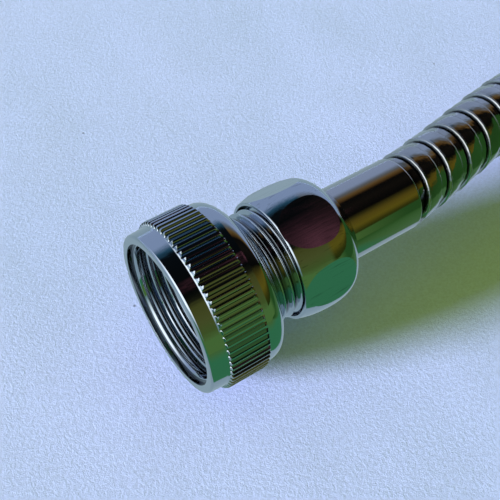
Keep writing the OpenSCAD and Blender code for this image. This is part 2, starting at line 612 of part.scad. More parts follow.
// Outer form of the handle and the head's cup, with the neck between them
module shell_blank() {
    r0 = handle_start_r;
    turned([[shell_at, 0], [shell_at, r0], [shell_at + 8, r0 + 0.4], [shell_at + 28, handle_r - 0.1],
        [shell_at + 48, handle_r], [shell_at + 80, handle_r - 0.3], [shell_at + 110, handle_r - 1],
        [head_at - cup_r + 12, handle_r - 1], [head_at - cup_r + 12, 0]]);
    translate([head_at, 0, 0]) turned_z([[0, head_floor_z], [18, head_floor_z], [25, head_floor_z + 1],
        [30, head_floor_z + 3.6], [33, head_floor_z + 7], [cup_r, head_floor_z + 11.5], [cup_r, rim_z],
            [0, rim_z]]);
    neck();
}
module handset_shell() color(chrome) at_outlet() difference() {
    shell_blank();
    turned([[shell_at - past, 0], [shell_at - past, handle_bore_r], [head_at - drum_r, handle_bore_r],
        [head_at - drum_r, 0]]);
    translate([head_at, 0, 0]) turned_z([[0, cup_floor_z], [drum_r, cup_floor_z], [25, cup_floor_z + 2],
        [29, cup_floor_z + 5], [cup_bore_r, cup_floor_z + 10], [cup_bore_r, rim_z + past], [0,
            rim_z + past]]);
    translate([head_at, 0, rim_z]) cylinder(r = head_r + 0.4, h = handle_r, $fn = 128);
    translate([valve_at + 0.8, -bezel_w / 2 - 0.2, bezel_pocket_z]) cube([bezel_len + 0.4, bezel_w + 0.4,
        handle_r]);
    stem_slot(0, handle_r);
}
module manifold() color(clear_plastic) at_outlet() difference() {
    union() {
        translate([head_at, 0, cup_floor_z]) cylinder(r = drum_r, h = drum_top_z - cup_floor_z, $fn = 96);
        translate([head_at, 0, 0]) cylinder(r = boss_r, h = boss_top_z, $fn = 64);
        tube_x(port_at, 8, handle_bore_r - 0.4, 0);
        tube_x(port_at, head_at - drum_r / 2 - port_at, port_neck_r, 0);
    }
    tube_x(port_at - past, tube_seat + past, spigot_bore_r, 0);
    tube_x(port_at, head_at - detent_out - port_at, port_neck_r - 1.2, 0);
    translate([head_at, 0, -2]) cylinder(r = screw_r + 0.05, h = boss_top_z + past + 2, $fn = 32);
    translate([head_at + detent_out, 0, detent_floor_z]) cylinder(r = detent_r + 0.1,
        h = drum_top_z - detent_floor_z + past, $fn = 32);
    translate([head_at, 0, 0]) turned_z([[seal_out - seal_r - 0.05, drum_top_z - seal_depth],
        [seal_out + seal_r + 0.05, drum_top_z - seal_depth], [seal_out + seal_r + 0.05, drum_top_z + past],
        [seal_out - seal_r - 0.05, drum_top_z + past]]);
    for (i = [0 : 4]) at_mode(i) translate([0, 0, -3]) cylinder(r = 2.2, h = drum_top_z + past + 3, $fn = 32);
}
// Water ports round the drum, clear of the detent
module at_mode(i) translate([head_at, 0, 0]) rotate([0, 0, 60 + 60 * i]) translate([port_out, 0, 0])
    children();
module manifold_seal() color(dark) at_head() rotate_extrude($fn = 96)
    translate([seal_out, drum_top_z - seal_depth + 0.05 + seal_r]) circle(r = seal_r, $fn = 24);
module detent_ball() color(chrome) at_head() translate([detent_out, 0, diverter_z - 0.05 - detent_r])
    sphere(r = detent_r, $fn = 48);
module detent_spring() color(chrome) at_head() translate([detent_out, 0, detent_floor_z]) difference() {
    height = diverter_z - 0.05 - 2 * detent_r - detent_floor_z - 0.02;
    cylinder(r = detent_r - 0.05, h = height, $fn = 32);
    translate([0, 0, -past]) cylinder(r = detent_r - 0.55, h = height + 2 * past, $fn = 32);
}
module diverter_disc() color(clear_plastic) at_head() difference() {
    translate([0, 0, diverter_z]) cylinder(r = diverter_r, h = diverter_t, $fn = 128);
    translate([0, 0, diverter_z - past]) cylinder(r = boss_r + running, h = diverter_t + 2 * past, $fn = 64);
    for (i = [0 : 2]) rotate([0, 0, 30 + 120 * i]) translate([port_out, 0, diverter_z - past])
        cylinder(r = 2.2, h = diverter_t + 2 * past, $fn = 32);
}
// The nozzles' places: rings about the head's centre
module at_nozzles() {
    for (ring = [0 : nozzle_rings - 1], i = [0 : nozzle_step * (ring + 1) - 1])
        rotate([0, 0, 360 * (i + 0.5 * (ring % 2)) / (nozzle_step * (ring + 1))])
            translate([nozzle_first_r + ring * nozzle_gap, 0, 0]) children();
}
module distributor_plate() color(clear_plastic) at_head() difference() {
    translate([0, 0, boss_top_z]) cylinder(r = plate_r, h = distributor_t, $fn = 128);
    translate([0, 0, boss_top_z - past]) cylinder(r = screw_r + 0.1, h = distributor_t + 2 * past, $fn = 32);
    for (i = [0 : 11]) rotate([0, 0, 30 * i]) translate([nozzle_first_r + nozzle_gap / 2, 0,
        boss_top_z - past])
        cylinder(r = 1.2, h = distributor_t + 2 * past, $fn = 24);
}
module nozzle_mat() color(dark) at_head() difference() {
    union() {
        translate([0, 0, mat_z]) cylinder(r = plate_r, h = mat_t, $fn = 128);
        at_nozzles() translate([0, 0, mat_z]) cylinder(r = nozzle_r, h = nozzle_top_z - mat_z, $fn = 20);
    }
    translate([0, 0, mat_z - past]) cylinder(r = screw_r + 0.1, h = mat_t + 2 * past, $fn = 32);
    at_nozzles() translate([0, 0, mat_z - past]) cylinder(r = 0.4, h = nozzle_top_z - mat_z + 2 * past,
        $fn = 16);
}
module spray_plate() color(chrome) at_head() difference() {
    turned_z([[0, plate_z], [plate_r, plate_z], [plate_r, ring_top_z + 0.1], [plate_r + 1.4,
        ring_top_z + 0.1],
        [plate_r + 1.4, face_z - 0.3], [plate_r + 1.1, face_z], [0, face_z]]);
    translate([0, 0, plate_z - past]) cylinder(r = screw_r + 0.1, h = 10, $fn = 32);
    translate([0, 0, screw_head_z]) cylinder(r = screw_head_r + 0.1, h = 10, $fn = 48);
    at_nozzles() translate([0, 0, plate_z - past]) cylinder(r = nozzle_r + 0.15, h = 10, $fn = 20);
}
module centre_screw() color(chrome) at_head() difference() {
    union() {
        translate([0, 0, -1.9]) cylinder(r = screw_r, h = screw_head_z + 1.9, $fn = 32);
        translate([0, 0, screw_head_z]) cylinder(r = screw_head_r, h = face_z - screw_head_z, $fn = 48);
    }
    for (a = [0, 90]) rotate([0, 0, a]) translate([-2.2, -0.4, face_z - 0.9]) cube([4.4, 0.8, 2]);
}
module centre_cap() color(chrome) at_head() turned_z([[0, face_z], [7.5, face_z], [7.5, face_z + 0.5],
    [6.8, face_z + 1], [5, face_z + 1.3], [2.5, face_z + 1.45], [0, face_z + 1.5]]);
module selector_ring() color(dark) at_head() {
    turned_z([[diverter_r + 0.15, skirt_z], [skirt_r, skirt_z], [skirt_r, ring_z], [head_r - 0.7, ring_z],
        [head_r, ring_z + 0.7], [head_r, ring_top_z - 1], [head_r - 1, ring_top_z], [plate_r + 0.3,
            ring_top_z],
        [plate_r + 0.3, boss_top_z - 0.2], [diverter_r + 0.15, boss_top_z - 0.2]]);
    rotate([0, 0, tab_angle]) difference() {
        translate([head_r - 1.2, -tab_w / 2, ring_z + 0.6]) cube([tab_reach + 1.2, tab_w,
            ring_top_z - ring_z - 1.4]);
        for (side = [-1, 1]) translate([head_r + tab_reach, side * tab_w / 2, ring_z]) rotate([0, 0,
            side * 45])
            translate([-1, -1.5, -past]) cube([2, 3, 10]);
    }
}

tap_collar();
adapter_nipple();
tap_washer();
strainer_disc();
dome_nut();
inlet_washer();
inlet_stem();
inlet_ferrule();
hose_inlet_run();
hose_coil();
hose_outlet_run();
inner_tube();
outlet_ferrule();
outlet_stem();
outlet_washer();
cone_nut();
handle_spigot();
spigot_oring();
flow_restrictor();
rear_tube();
valve_body();
valve_spool();
spool_orings();
thumb_slider();
slider_bezel();
front_tube();
handset_shell();
manifold();
manifold_seal();
detent_ball();
detent_spring();
diverter_disc();
distributor_plate();
nozzle_mat();
spray_plate();
centre_screw();
centre_cap();
selector_ring();
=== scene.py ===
"""Handheld bath sprayer: a knurled tap collar, a domed nut, a strip-wound hose and a hand shower."""
import math

import bmesh
import bpy
import numpy as np
from mathutils import Matrix, Vector
from mathutils.kdtree import KDTree


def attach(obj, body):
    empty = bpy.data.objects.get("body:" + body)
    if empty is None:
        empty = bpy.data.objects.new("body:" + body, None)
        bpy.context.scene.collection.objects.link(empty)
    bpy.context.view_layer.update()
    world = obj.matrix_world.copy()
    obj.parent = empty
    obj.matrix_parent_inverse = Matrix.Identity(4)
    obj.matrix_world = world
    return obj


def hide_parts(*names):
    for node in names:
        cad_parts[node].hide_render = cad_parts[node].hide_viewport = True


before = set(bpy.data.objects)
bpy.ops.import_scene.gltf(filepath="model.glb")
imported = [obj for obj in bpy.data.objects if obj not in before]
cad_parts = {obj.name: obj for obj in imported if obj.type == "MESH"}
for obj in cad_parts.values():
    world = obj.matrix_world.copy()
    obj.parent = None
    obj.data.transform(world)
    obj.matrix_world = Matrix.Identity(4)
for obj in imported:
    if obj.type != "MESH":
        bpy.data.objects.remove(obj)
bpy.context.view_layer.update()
MM = 0.001
TAU = 2 * math.pi


# ---- Camera ----

def put_camera():
    data = bpy.data.cameras.new("still_camera")
    data.lens, data.sensor_width, data.clip_start = 59.04, 36, 0.001
    camera = bpy.data.objects.new("still_camera", data)
    turn = Matrix(((0.83215, -0.55455, 0), (0.43053, 0.64605, 0.63029), (-0.34953, -0.52449, 0.77636)))
    place = Vector((-33.560, -74.164, 115.711)) * MM
    camera.matrix_world = Matrix.Translation(place) @ turn.transposed().to_4x4()
    bpy.context.scene.collection.objects.link(camera)
    bpy.context.scene.camera = camera


put_camera()


# ---- Node trees ----

def add_node(tree, kind, inputs=None, **settings):
    """A node with its settings; inputs maps a socket's name or number to a value or an output."""
    made = tree.nodes.new(kind)
    for key, value in settings.items():
        setattr(made, key, value)
    for key, value in (inputs or {}).items():
        if isinstance(value, bpy.types.NodeSocket):
            tree.links.new(value, made.inputs[key])
        else:
            made.inputs[key].default_value = value
    return made


def linear(hex_colour):
    """An sRGB hex colour as linear RGBA."""
    parts = [int(hex_colour[i:i + 2], 16) / 255 for i in (1, 3, 5)]
    return tuple(c / 12.92 if c <= 0.04045 else ((c + 0.055) / 1.055) ** 2.4 for c in parts) + (1,)


def new_material(name):
    material = bpy.data.materials.new(name)
    material.use_nodes = True
    tree = material.node_tree
    tree.nodes.clear()
    shader = add_node(tree, "ShaderNodeBsdfPrincipled")
    add_node(tree, "ShaderNodeOutputMaterial", {"Surface": shader.outputs[0]})
    return material, tree, shader


def ramp(tree, factor, stops):
    """A colour ramp through (position, colour) stops."""
    made = add_node(tree, "ShaderNodeValToRGB", {"Fac": factor})
    elements = made.color_ramp.elements
    elements[0].position, elements[0].color = stops[0][0], stops[0][1]
    elements[1].position, elements[1].color = stops[-1][0], stops[-1][1]
    for at, colour in stops[1:-1]:
        elements.new(at).color = colour
    return made.outputs["Color"]


def grey(value):
    return (value, value, value, 1)


# ---- Turned and wound forms ----

def new_piece(name, mesh_maker, sharp=35):
    """An object from a function that fills a bmesh; edges over the sharp angle stay crisp."""
    bm = bmesh.new()
    mesh_maker(bm)
    bmesh.ops.remove_doubles(bm, verts=bm.verts, dist=1e-7)
    bmesh.ops.recalc_face_normals(bm, faces=bm.faces)
    limit = math.radians(sharp)
    for face in bm.faces:
        face.smooth = True
    for edge in bm.edges:
        edge.smooth = edge.is_manifold and edge.calc_face_angle(0) < limit
    mesh = bpy.data.meshes.new(name)
    bm.to_mesh(mesh)
    bm.free()
    piece = bpy.data.objects.new(name, mesh)
    bpy.context.scene.collection.objects.link(piece)
    return piece


def soften(outline, steps=3):
    """Rounds each corner of a closed outline of (x, r, radius) points that has a radius."""
    made = []
    for i, point in enumerate(outline):
        here = Vector(point[:2])
        if len(point) < 3:
            made.append(tuple(here))
            continue
        before = Vector(outline[i - 1][:2]) - here
        after = Vector(outline[(i + 1) % len(outline)][:2]) - here
        a = here + before.normalized() * min(point[2], before.length * 0.45)
        b = here + after.normalized() * min(point[2], after.length * 0.45)
        for k in range(steps + 1):
            t = k / steps
            made.append(tuple(a.lerp(here, t).lerp(here.lerp(b, t), t)))
    return made


def curve_through(points, step):
    """Points at about the given step on a smooth curve through [x, r] points."""
    made = []
    p = [Vector(q) for q in points]
    for i in range(len(p) - 1):
        p0, p1, p2, p3 = p[max(i - 1, 0)], p[i], p[i + 1], p[min(i + 2, len(p) - 1)]
        cuts = max(1, round((p2 - p1).length / step))
        for k in range(cuts):
            made.append(tuple(spline(p0, p1, p2, p3, k / cuts)))
    return made + [tuple(p[-1])]


def spline(p0, p1, p2, p3, t):
    return 0.5 * (2 * p1 + (p2 - p0) * t + (2 * p0 - 5 * p1 + 4 * p2 - p3) * t * t
                  + (3 * p1 - p0 - 3 * p2 + p3) * t * t * t)


def lathe(bm, outline, columns, radius_at=None):
    """A closed outline of (x, r) points in mm, turned about the X axis."""
    rings = []
    for x, r in outline:
        ring = []
        for k in range(columns):
            a = TAU * k / columns
            reach = radius_at(x, r, a) if radius_at else r
            ring.append(bm.verts.new((x * MM, reach * math.cos(a) * MM, reach * math.sin(a) * MM)))
        rings.append(ring)
    for i, ring in enumerate(rings):
        following = rings[(i + 1) % len(rings)]
        for k in range(columns):
            m = (k + 1) % columns
            bm.faces.new((ring[k], ring[m], following[m], following[k]))


# ---- Hose ----

HOSE_START = np.array((49.9, 0, 0))
COIL_CENTRE = np.array((179.9, -70.4, -8.9))
HOSE_END = np.array((101.9, -156.4, -3.0))
HOSE_R = 7.1
STRIP_PITCH = 7.12
FIRST_LIP = 1.2
RUN_POINTS = [(0, 0, 0), (8.7, 1.9, -1), (15.7, 3.5, -1.7), (23, 5.2, -2.2), (30.7, 7, -2.8),
              (42, 9.3, -3.8), (54, 11.3, -4.9), (66, 12.9, -6.1), (78, 14.1, -7.1), (90, 15, -8),
              (102, 15.5, -8.6), (112, 15.6, -8.9), (116, 15.6, -8.9), (130, 15.6, -8.9)]
EXIT_POINTS = [(0, 0, 0), (-14, 0, 0), (-20, 0, -0.25), (-26.5, 0, -1.05), (-33, 0, -2.45),
               (-39, 0, -4.3), (-45, 0, -6.15), (-51.5, 0, -7.6), (-58, 0, -8.4), (-64, 0, -8.7),
               (-78, 0, -8.7)]


COIL_R = 86
COIL_STEP = 14.6


def coil_point(angle):
    """A point on the coil: in over the first turn, up half a turn, and out again on top."""
    climb = min(max((angle - 360) / 180, 0), 1)
    inner = COIL_R - COIL_STEP
    if angle <= 360:
        radius = COIL_R - COIL_STEP * angle / 360
    elif angle <= 540:
        radius = inner - 2.6 * math.sin(math.pi * climb)
    else:
        radius = inner + COIL_STEP * (angle - 540) / 360
    a = math.radians(angle)
    lift = COIL_STEP * climb * climb * (3 - 2 * climb)
    return COIL_CENTRE + np.array((radius * math.sin(a), radius * math.cos(a), lift))


def hose_route():
    """The hose's centre line in mm: along the floor, two and a half turns of coil, and out again."""
    def smooth(points, cuts):
        p = [np.array(q, float) for q in points]
        return [spline(p[max(i - 1, 0)], p[i], p[i + 1], p[min(i + 2, len(p) - 1)], k / cuts)
                for i in range(len(p) - 1) for k in range(cuts)]
    coil_end = coil_point(900)
    knots = [HOSE_START + q for q in smooth(RUN_POINTS, 4)]
    knots += [coil_point(a) for a in range(0, 900, 5)]
    knots += [coil_end + q for q in smooth(EXIT_POINTS, 4)] + [HOSE_END]
    fine = smooth(knots, 5) + [knots[-1]]
    return np.array(fine)


# Height of the rolled strip over one turn, as (share of the pitch, height in mm): the rolled front
# lip, the broad band, its edge, and the narrow sunk band that ends in the gap under the next lip
STRIP_SHAPE = [(0.0, -0.95), (0.003, -0.22), (0.014, 0.0), (0.036, 0.12), (0.062, 0.1), (0.082, -0.06),
               (0.1, -0.1), (0.125, -0.03), (0.4, 0.0), (0.59, -0.02), (0.62, -0.08), (0.64, -0.34),
               (0.68, -0.38), (0.9, -0.44), (0.935, -0.95)]


def mark_depth(piece, line, shallow, deep):
    """Stores how deep in a gap each point lies, from 0 to 1, by its distance from a centre line, for painted
    shade in the gaps.
    """
    count = len(piece.data.vertices)
    flat = np.zeros(count * 3, np.float32)
    piece.data.vertices.foreach_get("co", flat)
    tree = KDTree(len(line))
    for i, point in enumerate(line):
        tree.insert(point * MM, i)
    tree.balance()
    depth = np.zeros(count, np.float32)
    for i, place in enumerate(flat.reshape(-1, 3)):
        j = tree.find(place)[1]
        ahead = line[min(j + 1, len(line) - 1)] - line[max(j - 1, 0)]
        away = np.array(place, float) / MM - line[j]
        off = away - ahead * (away @ ahead) / (ahead @ ahead)
        depth[i] = min(max((shallow - np.linalg.norm(off)) / (shallow - deep), 0), 1)
    piece.data.attributes.new("valley", "FLOAT", "POINT").data.foreach_set("value", depth)


def wound_hose():
    """The metal hose as one rolled strip wound along the route."""
    route = hose_route()
    steps = np.linalg.norm(np.diff(route, axis=0), axis=1)
    at = np.concatenate(([0], np.cumsum(steps)))
    length = at[-1]
    columns, per_turn = 28, len(STRIP_SHAPE)
    facing = math.radians(122.6)

    def centre(s):
        return np.stack([np.interp(s, at, route[:, k]) for k in range(3)], axis=-1)

    turns = int(length / STRIP_PITCH) + 3
    angle = TAU * np.arange(columns) / columns
    share = np.array([q[0] for q in STRIP_SHAPE])
    height = np.array([q[1] for q in STRIP_SHAPE])
    index = np.arange(-per_turn, turns * per_turn)
    ring_s = FIRST_LIP + STRIP_PITCH * (index // per_turn + share[index % per_turn])
    s = ring_s[:, None] - STRIP_PITCH * (angle[None, :] - facing) / TAU
    inside = np.clip(s, 0, length)
    radius = HOSE_R + height[index % per_turn][:, None] + 0 * s
    radius = np.where(s != inside, HOSE_R - 0.65, radius)
    ahead, behind = centre(np.clip(inside + 2, 0, length)), centre(np.clip(inside - 2, 0, length))
    heading = ahead - behind
    ends = (inside <= 0) | (inside >= length)
    heading = np.where(ends[..., None], np.where(inside[..., None] <= 0, (1.0, 0, 0), (-1.0, 0, 0)), heading)
    heading /= np.linalg.norm(heading, axis=-1, keepdims=True)
    side = np.cross((0.0, 0, 1), heading)
    side /= np.linalg.norm(side, axis=-1, keepdims=True)
    up = np.cross(heading, side)
    place = centre(inside) + radius[..., None] * (np.cos(angle)[None, :, None] * side
                                                  + np.sin(angle)[None, :, None] * up)

    def fill(bm):
        rings = [[bm.verts.new(p * MM) for p in ring] for ring in place]
        for i in range(len(rings) - 1):
            for k in range(columns):
                last = k == columns - 1
                j, m = (i + per_turn, 0) if last else (i, k + 1)
                if j + 1 < len(rings):
                    bm.faces.new((rings[i][k], rings[j][m], rings[j + 1][m], rings[i + 1][k]))
        bmesh.ops.remove_doubles(bm, verts=bm.verts, dist=2e-5)
        loose = [v for v in bm.verts if not v.link_faces]
        bmesh.ops.delete(bm, geom=loose, context="VERTS")
        bmesh.ops.holes_fill(bm, edges=[e for e in bm.edges if e.is_boundary])

    hose = new_piece("wound_hose", fill, 50)
    # Painted shade in the gaps between the strip's turns, stored as the valley attribute
    mark_depth(hose, route, HOSE_R - 0.5, HOSE_R - 0.8)
    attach(hose, "root")
    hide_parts("hose_inlet_run", "hose_coil", "hose_outlet_run", "inner_tube")
    return hose


hose = wound_hose()


# ---- Tap collar ----

# A rib's height over one pitch: a steep upper side, a crest that leans down, and a lower flank
RIB_SHAPE = [(0.06, 0.1), (0.14, 0.92), (0.22, 1.0), (0.34, 0.96), (0.46, 0.9), (0.57, 0.74), (0.65, 0.15),
             (0.72, 0.0), (0.95, 0.0)]


def knurl_tree():
    """Cuts straight ribs round a turned blank: no point between two ribs stays above the valley."""
    tree = bpy.data.node_groups.new("straight_knurl", "GeometryNodeTree")
    face = tree.interface
    face.new_socket("Blank", in_out="INPUT", socket_type="NodeSocketGeometry")
    for name, value in (("Ribs", 74), ("Crest Radius", 0.016), ("Depth", 0.00064)):
        kind = "NodeSocketInt" if name == "Ribs" else "NodeSocketFloat"
        face.new_socket(name, in_out="INPUT", socket_type=kind).default_value = value
    face.new_socket("Finish", in_out="INPUT", socket_type="NodeSocketMaterial")
    face.new_socket("Collar", in_out="OUTPUT", socket_type="NodeSocketGeometry")
    given = add_node(tree, "NodeGroupInput").outputs

    def calc(operation, a, b=0.0, c=0.0):
        return add_node(tree, "ShaderNodeMath", {0: a, 1: b, 2: c}, operation=operation).outputs[0]

    place = add_node(tree, "GeometryNodeInputPosition").outputs[0]
    axes = add_node(tree, "ShaderNodeSeparateXYZ", {0: place}).outputs
    squares = calc("ADD", calc("MULTIPLY", axes[1], axes[1]), calc("MULTIPLY", axes[2], axes[2]))
    radius = calc("SQRT", squares)
    turn = calc("DIVIDE", calc("ARCTAN2", axes[2], axes[1]), TAU)
    share = calc("FRACT", calc("MULTIPLY", turn, given["Ribs"]))
    rib = add_node(tree, "ShaderNodeFloatCurve", {"Value": share})
    line = rib.mapping.curves[0]
    line.points[0].location, line.points[1].location = (0, 0), (1, 0)
    for at, height in RIB_SHAPE:
        line.points.new(at, height)
    for point in line.points:
        point.handle_type = "VECTOR"
    rib.mapping.update()
    fall = calc("SUBTRACT", 1.0, rib.outputs[0])
    limit = calc("SUBTRACT", given["Crest Radius"], calc("MULTIPLY", fall, given["Depth"]))
    scale = calc("DIVIDE", calc("MINIMUM", radius, limit), radius)
    depth = calc("DIVIDE", calc("MAXIMUM", calc("SUBTRACT", radius, limit), 0.0), given["Depth"])
    # Painted shade: the depth between the ribs, and a share in the mouth's counterbore and in the roots of
    # the thread, are stored for the finish, which darkens them
    root = add_node(tree, "ShaderNodeMapRange", {"Value": radius, "From Min": 0.0129, "From Max": 0.0134,
                    "To Max": 0.42}).outputs[0]
    inner = calc("MULTIPLY", calc("LESS_THAN", radius, 0.01346), calc("LESS_THAN", axes[0], 0.0073))
    depth = calc("MAXIMUM", depth, calc("MULTIPLY", root, inner))
    spread = add_node(tree, "ShaderNodeCombineXYZ", {0: 1.0, 1: scale, 2: scale}).outputs[0]
    moved = add_node(tree, "ShaderNodeVectorMath", {0: place, 1: spread}, operation="MULTIPLY").outputs[0]
    cut = add_node(tree, "GeometryNodeSetPosition", {"Geometry": given["Blank"], "Position": moved})
    marked = add_node(tree, "GeometryNodeStoreNamedAttribute", {"Geometry": cut.outputs[0], "Name": "valley",
                      "Value": depth}, data_type="FLOAT", domain="POINT")
    real = add_node(tree, "GeometryNodeRealizeInstances", {0: marked.outputs[0]})
    painted = add_node(tree, "GeometryNodeSetMaterial", {"Geometry": real.outputs[0],
                       "Material": given["Finish"]})
    add_node(tree, "NodeGroupOutput", {0: painted.outputs[0]})
    return tree


def through_tree(blank, tree, **values):
    """A plain mesh object from a blank and a geometry tree; the blank is used up."""
    modifier = blank.modifiers.new(tree.name, "NODES")
    modifier.node_group = tree
    for item in tree.interface.items_tree:
        if item.in_out == "INPUT" and item.name in values:
            modifier[item.identifier] = values[item.name]
    graph = bpy.context.evaluated_depsgraph_get()
    mesh = bpy.data.meshes.new_from_object(blank.evaluated_get(graph))
    mesh.name = blank.name
    blank.modifiers.clear()
    blank.data = mesh
    return blank


def crisp(piece, sharp=35):
    """Smooth faces, with the edges over the sharp angle kept crisp."""
    bm = bmesh.new()
    bm.from_mesh(piece.data)
    for face in bm.faces:
        face.smooth = True
    for edge in bm.edges:
        edge.smooth = edge.is_manifold and edge.calc_face_angle(0) < math.radians(sharp)
    bm.to_mesh(piece.data)
    bm.free()


def tap_collar(chrome):
    """The knurled collar, turned as a blank and then ribbed."""
    shoulder = curve_through([(9.72, 15.34), (10.25, 15.345), (10.9, 15.34), (11.7, 15.2), (12.4, 14.9),
                              (13.0, 14.4), (13.55, 13.7), (14.0, 12.95), (14.3, 12.4),
                              (14.46, 12.05)], 0.25)
    outside = [(-1.5, 13.43, 0.08), (-1.5, 14.78, 0.18), (-1.2, 15.06, 0.12), (1.55, 15.24, 0.1),
               (1.8, 15.36), (2.0, 15.85, 0.05), (2.35, 16, 0.1), (3.4, 16), (5.4, 16), (7.4, 16),
               (9.35, 16, 0.15)]
    rear = [(14.5, 11.9, 0.1), (14.5, 10.95, 0.15), (14.2, 10.78, 0.1), (11.9, 10.78), (11.9, 13.23),
            (7.227, 13.23), (7.227, 12.58)]
    thread = []
    for i in reversed(range(3)):
        top = i * 2.209
        thread += [(top + 2.209, 12.58, 0.06), (top + 1.554, 13.43, 0.05), (top + 1.254, 13.43, 0.05),
                   (top + 0.6, 12.58, 0.06)]
    mouth = [(-0.0, 12.58, 0.08), (-0.5, 12.75, 0.1), (-0.55, 13.43, 0.05)]
    outline = soften(outside + shoulder + rear + thread + mouth)
    blank = new_piece("knurled_collar", lambda bm: lathe(bm, outline, 740))
    collar = through_tree(blank, knurl_tree(), Finish=chrome)
    crisp(collar, 32)
    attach(collar, "tap_collar")
    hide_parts("tap_collar")


# ---- Pipe, nut and ferrule ----

def pipe_nipple(chrome):
    """The threaded neck; its thread's roots are marked for the finish, which paints shade in them."""
    pitch, root, crest = 1.814, 9.48, 10.48
    rings = [(26.3 - 0.09 * k, root) for k in range(126)]
    flange = [(14.96, 9.48), (14.7, 10.7, 0.1), (11.82, 10.7), (11.82, 12.63, 0.1), (10.02, 12.63, 0.1),
              (10.02, 7.5)]
    outline = [(26.3, 7.5)] + rings + soften(flange)

    def thread(x, r, a):
        """The pipe thread: 55 degree flanks with a narrow crest, running out at both ends."""
        if not (15.0 < x < 26.29 and r == root):
            return r
        share = (x / pitch - a / TAU) % 1.0
        rise = (0.5 - 0.5 * math.cos(TAU * share)) ** 1.3
        fade = min((x - 15.0) / 0.6, (26.29 - x) / 0.8, 1)
        return root + (crest - root) * rise * fade

    nipple = new_piece("threaded_nipple", lambda bm: lathe(bm, outline, 256, thread), 60)
    nipple.data.materials.append(chrome)
    places = np.zeros(len(nipple.data.vertices) * 3, np.float32)
    nipple.data.vertices.foreach_get("co", places)
    places = places.reshape(-1, 3) / MM
    # Painted shade in the thread's roots, stored as the valley attribute
    low = np.clip((crest - 0.05 - np.hypot(places[:, 1], places[:, 2])) / (crest - root), 0, 1)
    low *= (places[:, 0] > 15.2) & (places[:, 0] < 26.2)
    nipple.data.attributes.new("valley", "FLOAT", "POINT").data.foreach_set("value", low * 0.46)
    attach(nipple, "inlet_nut")
    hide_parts("adapter_nipple")


def domed_nut(chrome):
    """The domed nut, with six flats cut round it."""
    dome = curve_through([(33.7, 8.3), (32.7, 9.55), (31.8, 10.7), (30.8, 11.5), (29.5, 12.05), (28, 12.35),
                          (26.5, 12.45), (24.5, 12.42), (22.5, 12.22), (21, 11.9), (20.1, 11.66),
                          (19.85, 11.6)], 0.25)
    inside = [(19.7, 11.48, 0.06), (19.7, 10.98, 0.03), (23.6, 10.98), (23.7, 10.63), (26.3, 10.63),
              (26.3, 9.63), (30.38, 9.63), (30.38, 7.38), (34.0, 7.38, 0.05), (34.0, 8.0, 0.15)]
    outline = soften(dome + inside)

    def fill(bm):
        lathe(bm, outline, 192)
        bmesh.ops.recalc_face_normals(bm, faces=bm.faces)
        for i in range(6):
            a = math.radians(109.4 + 60 * i)
            normal = Vector((0, math.cos(a), math.sin(a)))
            geom = list(bm.verts) + list(bm.edges) + list(bm.faces)
            cut = bmesh.ops.bisect_plane(bm, geom=geom, plane_co=normal * 11.55 * MM, plane_no=normal,
                                         clear_outer=True, dist=1e-8)
            rim = [e for e in cut["geom_cut"] if isinstance(e, bmesh.types.BMEdge)]
            bmesh.ops.edgeloop_fill(bm, edges=rim)

    nut = new_piece("domed_nut", fill, 30)
    # The flats' edges stay crisp where the dome meets them at a shallow angle
    bm = bmesh.new()
    bm.from_mesh(nut.data)
    for face in bm.faces:
        if len(face.verts) > 12:
            face.smooth = False
            for edge in face.edges:
                edge.smooth = False
    bm.to_mesh(nut.data)
    bm.free()
    nut.data.materials.append(chrome)
    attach(nut, "inlet_nut")
    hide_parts("dome_nut")


def ferrule(name, at, node, finish):
    """A ferrule pressed on the hose's end; it runs from there towards -x."""
    shape = soften([(0, 5.35), (0, 7.08, 0.12), (0.35, 7.28, 0.2), (17.2, 7.3), (17.2, 4.25), (13.4, 4.25),
                    (13.4, 5.35)])
    outline = [(-x, r) for x, r in shape]
    piece = new_piece(name, lambda bm: lathe(bm, outline, 160), 35)
    piece.data.transform(Matrix.Translation(Vector(at) * MM))
    piece.data.materials.append(finish)
    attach(piece, "root")
    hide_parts(node)


# ---- Hand shower ----

HEAD_X = 205.2


def shell_field(x, y, z):
    """Below 0 inside the hand shower's outer form: a round handle that flows into a shallow cup."""
    handle_r = np.interp(x, [42.2, 50.2, 62, 78, 92, 122, 152, 190],
                         [11.9, 12.3, 12.7, 12.95, 13, 12.7, 12, 12])
    handle = np.maximum(np.hypot(y, z) - handle_r, x - (HEAD_X - 14))
    out = np.hypot(x - HEAD_X, y)
    wall = np.interp(z, [-13, -12.7, -12, -10.9, -9.4, -7.8, -6, -3.8, -1.5, 1, 12],
                     [18, 21.7, 25, 27.9, 30, 31.7, 33, 34, 34.4, 34.5, 34.5])
    cup = np.maximum(out - wall, np.maximum(-13 - z, z - 9))
    blend = 9.0
    h = np.clip(0.5 + 0.5 * (cup - handle) / blend, 0, 1)
    return cup * (1 - h) + handle * h - blend * h * (1 - h)


